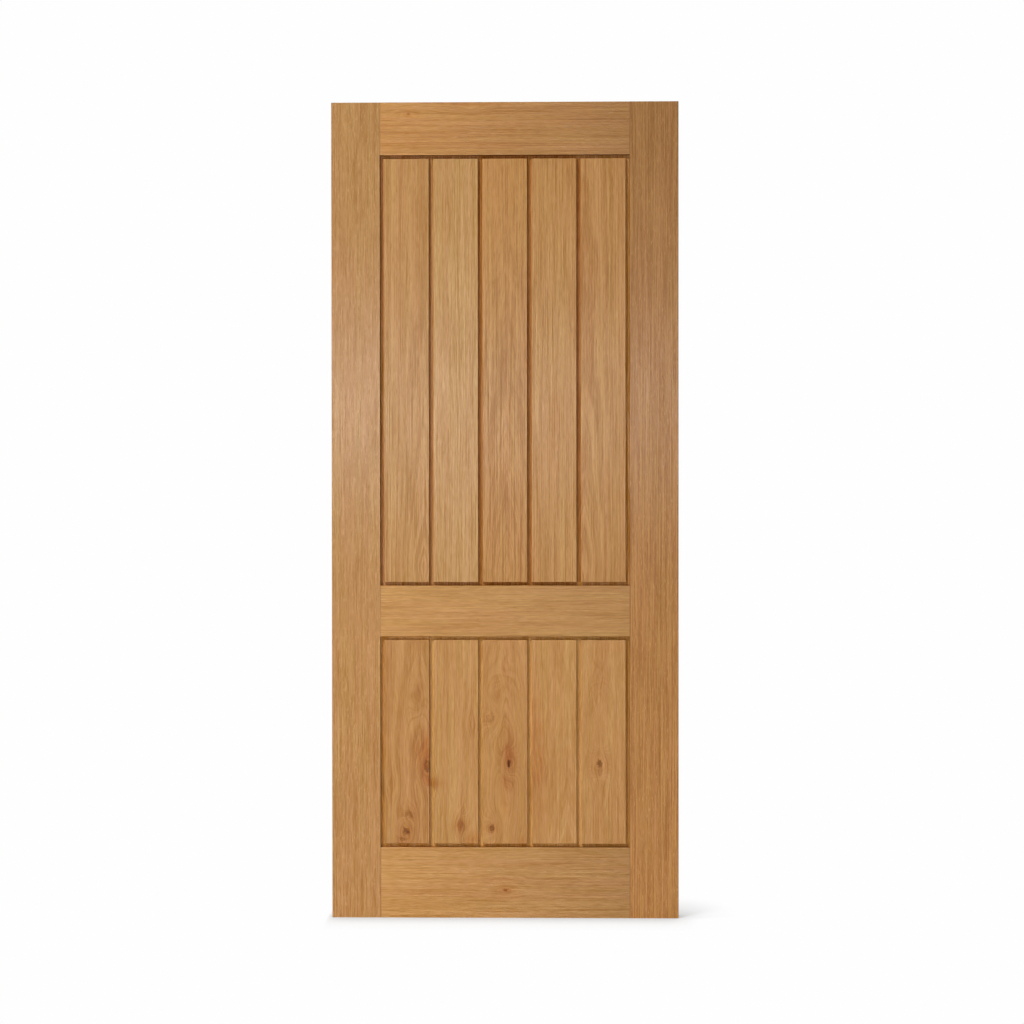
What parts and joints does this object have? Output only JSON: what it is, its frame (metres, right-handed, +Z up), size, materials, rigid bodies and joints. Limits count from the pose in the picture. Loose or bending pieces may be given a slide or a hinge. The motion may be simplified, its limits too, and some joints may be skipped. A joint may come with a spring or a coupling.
{
  "type": "wooden door",
  "caption": "Framed oak door leaf, boarded above and below a middle rail, to hang on hinges along either long edge.",
  "frame": {"origin": "middle of the leaf's bottom edge, halfway through its thickness", "axes": "+X across the leaf to the right seen from the front, +Y through the thickness from front to back, +Z up the leaf"},
  "size_m": [0.864, 0.044, 2.032],
  "materials": {
    "frame_oak": "satin lacquered oak, straight grained",
    "board_oak": "satin lacquered oak, with figured grain and knots",
    "dowel_beech": "bare fluted beech"
  },
  "bodies": {
    "root": {"left_stile": "frame_oak", "right_stile": "frame_oak", "bottom_rail": "frame_oak", "middle_rail": "frame_oak", "top_rail": "frame_oak", "lower_board_1": "board_oak", "lower_board_2": "board_oak", "lower_board_3": "board_oak", "lower_board_4": "board_oak", "lower_board_5": "board_oak", "upper_board_1": "board_oak", "upper_board_2": "board_oak", "upper_board_3": "board_oak", "upper_board_4": "board_oak", "upper_board_5": "board_oak", "bottom_left_dowels": "dowel_beech", "bottom_right_dowels": "dowel_beech", "middle_left_dowels": "dowel_beech", "middle_right_dowels": "dowel_beech", "top_left_dowels": "dowel_beech", "top_right_dowels": "dowel_beech"}
  },
  "joints": []
}
